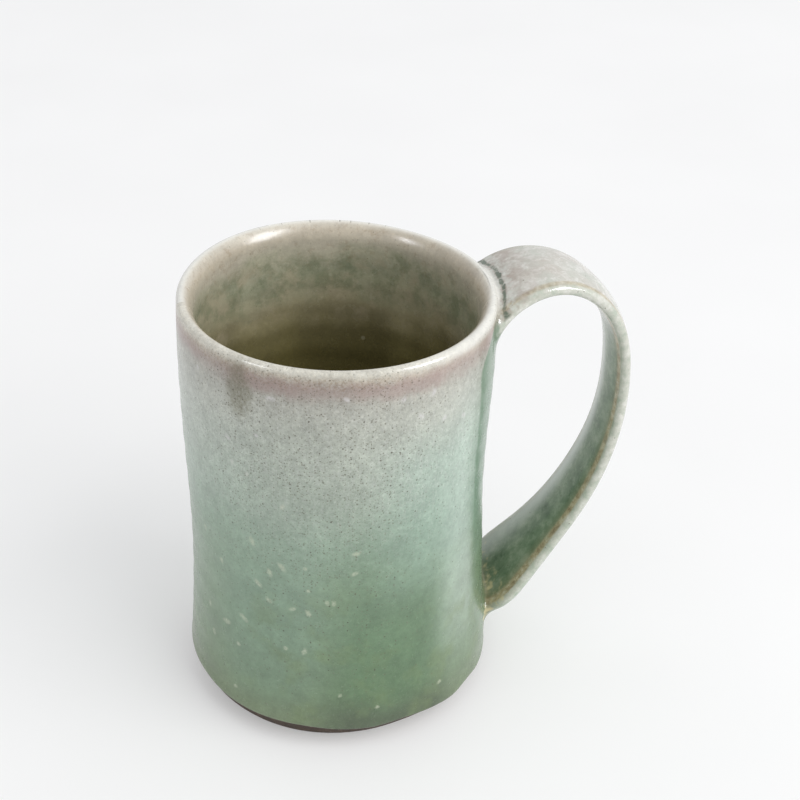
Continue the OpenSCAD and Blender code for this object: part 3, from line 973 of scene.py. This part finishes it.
def material_strap():
    mat = bpy.data.materials.new("handle_glaze")
    t = Tree(mat)
    p, z, deg, wall = frame_coords(t)
    face, edge, along, join = t.attr("face"), t.attr("edge"), t.attr("along"), t.attr("wall")
    # outer face: pale grey-green to grey-brown, with soft white mottling
    pale = t.ramp(t.noise(p, 0.10, 3.0, 0.6), [(0.3, lin((190, 197, 185))), (0.5, lin((199, 198, 189))), (0.7, lin((192, 183, 173)))])
    mott = t.step(t.noise(p, 0.40, 4.0, 0.66, 0.4), 0.44, 0.64)
    pale = t.mix(t.mul(mott, t.step(t.attr("along"), 0.04, 0.20, 0.55, 0.85)), pale, lin((224, 223, 218)))
    dust = t.step(t.noise(p, 1.7, 3.0, 0.7), 0.5, 0.66)
    pale = t.mix(t.mul(dust, 0.16), pale, lin((156, 149, 136)))
    # lower down the outer face turns green
    lower = t.ramp(t.noise(p, 0.2, 3.0, 0.6), [(0.3, lin((120, 148, 122))), (0.55, lin((150, 172, 150))), (0.75, lin((182, 190, 174)))])
    outer = t.mix(t.step(z, 78, 30), pale, lower)
    # inner face: green with greyer clouds and a pale band of painted reflection toward the far side, olive-grey higher
    # up
    deep = t.ramp(t.noise(p, 0.16, 4.0, 0.62), [(0.30, lin((87, 109, 83))), (0.5, lin((114, 134, 107))), (0.68, lin((148, 161, 138)))])
    spot = t.step(t.noise(t.vec("ADD", p, (9, 2, 5)), 0.5, 4.0, 0.68), 0.50, 0.66)
    deep = t.mix(t.mul(spot, 0.36), deep, lin((156, 170, 146)))
    lat = t.attr("lateral")
    # painted reflection: a near-white band on the far half of the inner face
    deep = t.mix(t.mul(t.step(lat, 0.05, 0.72), t.step(z, 24, 50, 0.6, 1.0)), deep, lin((206, 210, 204)))
    deep = t.mix(t.mul(t.step(lat, -0.45, -0.78), 0.35), deep, lin((150, 140, 104)))
    green_top = t.step(z, 98, 114)
    deep = t.mix(green_top, deep, pale)
    c = t.mix(t.step(face, 0.05, -0.35), outer, deep)
    # pale milky edges, mottled
    milky = t.ramp(t.noise(p, 0.34, 4.0, 0.66), [(0.32, lin((172, 182, 166))), (0.5, lin((198, 200, 188))), (0.66, lin((220, 220, 212)))])
    side = t.mul(t.step(edge, 0.76, 0.88), t.step(z, 20, 34, 0.75, 1.0))
    c = t.mix(t.mul(side, 0.85), c, milky)
    # the glaze breaks to beige and brown along the inner corner of the edge
    corner = t.mul(t.mul(t.hump(edge, 0.66, 0.77, 0.85, 0.93), t.step(face, 0.25, -0.15)), t.step(t.attr("lateral"), 0.1, -0.1, 0.12, 1.0))
    corner = t.add(corner, t.mul(t.mul(t.hump(edge, 0.72, 0.80, 0.86, 0.94), t.step(face, -0.2, 0.2)), t.mul(t.step(z, 98, 108), t.step(t.attr("lateral"), 0.1, -0.1, 0.1, 0.7))))
    tan = t.ramp(t.noise(p, 0.5, 4.0, 0.7), [(0.34, lin((142, 124, 94))), (0.5, lin((178, 163, 130))), (0.66, lin((208, 200, 174)))])
    c = t.mix(t.mul(corner, t.step(t.noise(t.vec("ADD", p, (3, 3, 30)), 0.3, 3.0, 0.6), 0.30, 0.5, 0.45, 0.9)), c, tan)
    c = t.gain(c, t.mad(t.sub(t.noise(p, 2.4, 2.0, 0.7), 0.5), 0.22, 1.0))
    # iron specks
    v = t.cells(p, 0.45)
    dot = t.mul(t.m("LESS_THAN", t.xyz(v["Color"])[0], 0.26), t.step(v["Distance"], 0.12, 0.06))
    c = t.mix(t.mul(dot, 0.6), c, lin((84, 74, 60)))
    # brown-mauve shadow beside the upper crease
    near_top = t.mul(t.mul(t.step(t.attr("along"), 0.09, 0.0), t.step(z, 104, 110)), t.mul(t.step(face, -0.1, 0.3), t.step(t.noise(p, 0.3, 3.0, 0.6), 0.36, 0.58)))
    c = t.mix(t.mul(near_top, 0.5), c, lin((150, 132, 120)))
    # into the cup's own glaze
    broken = t.mad(t.sub(t.noise(p, 0.5, 3.0), 0.5), 0.7, join)
    c = t.mix(t.step(broken, 0.35, 0.85), c, outside_colour(t, False))
    # dark pooled glaze in the upper crease, in broken patches
    top_side = t.step(face, -0.1, 0.35)
    br = t.step(t.noise(p, 0.42, 3.0, 0.6, 0.8), 0.34, 0.50, 0.15, 1.0)
    crease = t.mul(t.mul(t.step(t.mad(t.sub(t.noise(p, 0.45, 3.0), 0.5), 1.1, t.attr("crease")), 0.66, 0.98), top_side), br)
    c = t.mix(t.mul(crease, 0.8), c, lin((66, 88, 68)))
    frost = t.mul(t.hump(t.attr("crease"), 0.06, 0.25, 0.50, 0.72), top_side)
    frost = t.mul(frost, t.step(t.noise(t.vec("ADD", p, (12, 1, 7)), 0.55, 4.0, 0.7), 0.42, 0.58))
    c = t.mix(t.mul(frost, 0.55), c, lin((206, 210, 202)))
    # yellow-brown pool with cream drops in the lower joint
    pool = t.mul(t.attr("pool"), t.step(face, 0.3, -0.1))
    c = t.mix(t.mul(pool, 0.6), c, t.ramp(t.noise(p, 0.4, 3.0), [(0.35, lin((92, 88, 54))), (0.65, lin((136, 128, 88)))]))
    drop = t.mul(t.step(t.noise(p, 0.30, 2.0), 0.55, 0.70), t.mul(t.step(z, 27, 21), t.step(face, 0.3, -0.1)))
    c = t.mix(t.mul(drop, 0.75), c, lin((212, 200, 156)))
    t.put(t.b.inputs["Base Color"], c)
    shine(t, t.mad(t.noise(p, 0.4, 3.0), 0.14, 0.12), glaze_texture(t, p), 0.00007)
    return mat


def material_clay(name, dark, mid, pale):
    mat = bpy.data.materials.new(name)
    t = Tree(mat)
    p, z, deg, wall = frame_coords(t)
    n = t.noise(p, 0.5, 5.0, 0.65)
    c = t.ramp(n, [(0.3, lin(dark)), (0.5, lin(mid)), (0.72, lin(pale))])
    v = t.cells(p, 0.9)
    dot = t.mul(t.m("LESS_THAN", t.xyz(v["Color"])[0], 0.3), t.step(v["Distance"], 0.24, 0.1))
    c = t.mix(t.mul(dot, 0.6), c, lin((44, 34, 26)))
    grain = t.noise(t.vec("MULTIPLY", p, (1, 1, 3)), 3.0, 3.0, 0.7)
    c = t.gain(c, t.mad(t.sub(grain, 0.5), 0.3, 1.0))
    t.put(t.b.inputs["Base Color"], c)
    t.put(t.b.inputs["Roughness"], t.mad(n, 0.2, 0.66))
    t.b.inputs["IOR"].default_value = 1.5
    t.put(t.b.inputs["Normal"], t.bump(t.add(t.mul(grain, 0.6), t.mul(n, 0.4)), 0.00018))
    return mat


outside_mat = material_outside()
liner_mat = material_liner()
strap_mat = material_strap()
clay_mat = material_clay("bare_stoneware", (46, 35, 26), (64, 50, 37), (88, 70, 53))
core_mat = material_clay("handle_core", (96, 74, 54), (120, 94, 70), (148, 120, 92))

for o, mat in ((coat, outside_mat), (liner, liner_mat), (strap, strap_mat), (clay, clay_mat),
               (inner_strap, core_mat), (join_top, core_mat), (join_low, core_mat)):
    o.data.materials.clear()
    o.data.materials.append(mat)

for o, node, slot_name in ((clay, "thrown_cup", "bare_stoneware"), (inner_strap, "pulled_handle", "handle_clay"),
                           (join_top, "upper_join_clay", "join_clay"), (join_low, "lower_join_clay", "join_clay"),
                           (liner, "liner_glaze", "liner_glaze"), (coat, "outside_glaze", "outside_glaze"),
                           (strap, "handle_glaze", "handle_glaze")):
    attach(o, "root")
    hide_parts(node)

# ================================================================ the studio
floor_mesh = bpy.data.meshes.new("studio_floor")
floor_mesh.from_pydata([(-3, -3, 0), (3, -3, 0), (3, 3, 0), (-3, 3, 0)], [], [(0, 1, 2, 3)])
studio = bpy.data.objects.new("studio_floor", floor_mesh)
bpy.context.scene.collection.objects.link(studio)
floor_mat = bpy.data.materials.new("studio_paper")
ft = Tree(floor_mat)
fn = ft.noise(ft.mm(), 0.01, 2.0)
ft.put(ft.b.inputs["Base Color"], ft.ramp(fn, [(0.3, (0.62, 0.62, 0.62, 1)), (0.7, (0.64, 0.64, 0.64, 1))]))
ft.b.inputs["Roughness"].default_value = 0.9
ft.b.inputs["Specular IOR Level"].default_value = 0.15
ft.b.inputs["Emission Color"].default_value = (1.0, 0.995, 0.985, 1)
ft.b.inputs["Emission Strength"].default_value = 0.285
floor_mesh.materials.append(floor_mat)

world = bpy.data.worlds.new("studio")
bpy.context.scene.world = world
world.use_nodes = True
wt = world.node_tree
wt.nodes.clear()
bg = wt.nodes.new("ShaderNodeBackground")
wo = wt.nodes.new("ShaderNodeOutputWorld")
tc = wt.nodes.new("ShaderNodeTexCoord")
dotp = wt.nodes.new("ShaderNodeVectorMath")
dotp.operation = "DOT_PRODUCT"
dotp.inputs[1].default_value = (0.35, 0.25, 0.90)
wr = wt.nodes.new("ShaderNodeValToRGB")
wr.color_ramp.elements[0].position = 0.0
wr.color_ramp.elements[0].color = (0.46, 0.47, 0.48, 1)
wr.color_ramp.elements[1].position = 1.0
wr.color_ramp.elements[1].color = (0.84, 0.85, 0.87, 1)
half = wt.nodes.new("ShaderNodeMath")
half.operation = "MULTIPLY_ADD"
half.inputs[1].default_value = 0.5
half.inputs[2].default_value = 0.5
wt.links.new(tc.outputs["Generated"], dotp.inputs[0])
wt.links.new(dotp.outputs["Value"], half.inputs[0])
wt.links.new(half.outputs[0], wr.inputs[0])
wt.links.new(wr.outputs[0], bg.inputs[0])
bg.inputs[1].default_value = 1.0
wt.links.new(bg.outputs[0], wo.inputs[0])


def area(name, direction, distance, size, power, diffuse=True, glossy=True, colour=(1, 1, 1)):
    data = bpy.data.lights.new(name, "AREA")
    data.shape = "RECTANGLE"
    data.size, data.size_y = size
    data.energy = power
    data.color = colour
    o = bpy.data.objects.new(name, data)
    bpy.context.scene.collection.objects.link(o)
    d = Vector(direction).normalized()
    o.location = Vector((0, 0, 0.09)) + d * distance
    o.rotation_mode = "QUATERNION"
    o.rotation_quaternion = d.to_track_quat("Z", "Y")
    o.visible_diffuse = diffuse
    o.visible_glossy = glossy
    return o


area("key_soft", (0.54, -0.52, 0.66), 2.2, (1.9, 1.9), 27.0, glossy=False, colour=(1.0, 0.99, 0.975))


def bearing(az, el):
    a, e = math.radians(az), math.radians(el)
    return (math.cos(a) * math.cos(e), math.sin(a) * math.cos(e), math.sin(e))


area("window_right", bearing(-37, 27), 0.9, (0.30, 0.52), 8.8, diffuse=False, colour=(0.93, 0.95, 1.0))
area("window_left", bearing(-158, 28), 0.9, (0.16, 0.30), 2.6, diffuse=False, colour=(0.93, 0.95, 1.0))

# ================================================================ the camera
cam_data = bpy.data.cameras.new("camera")
cam_data.sensor_fit = "HORIZONTAL"
cam_data.sensor_width = 36.0
cam_data.lens = 1667.05 * 36 / 800
cam_data.clip_start, cam_data.clip_end = 0.01, 20
cam = bpy.data.objects.new("camera", cam_data)
bpy.context.scene.collection.objects.link(cam)
right = Vector((0.979502, -0.199789, 0.025712))
up = Vector((0.086549, 0.53267, 0.841886))
back = -Vector((0.181896, 0.822403, -0.539043))
cam.matrix_world = Matrix(((right.x, up.x, back.x, -0.064219), (right.y, up.y, back.y, -0.368172),
                           (right.z, up.z, back.z, 0.325089), (0, 0, 0, 1)))
bpy.context.scene.camera = cam

scene = bpy.context.scene
scene.view_settings.view_transform = "Standard"
scene.view_settings.look = "None"
scene.view_settings.exposure = 0.0
scene.view_settings.gamma = 1.0
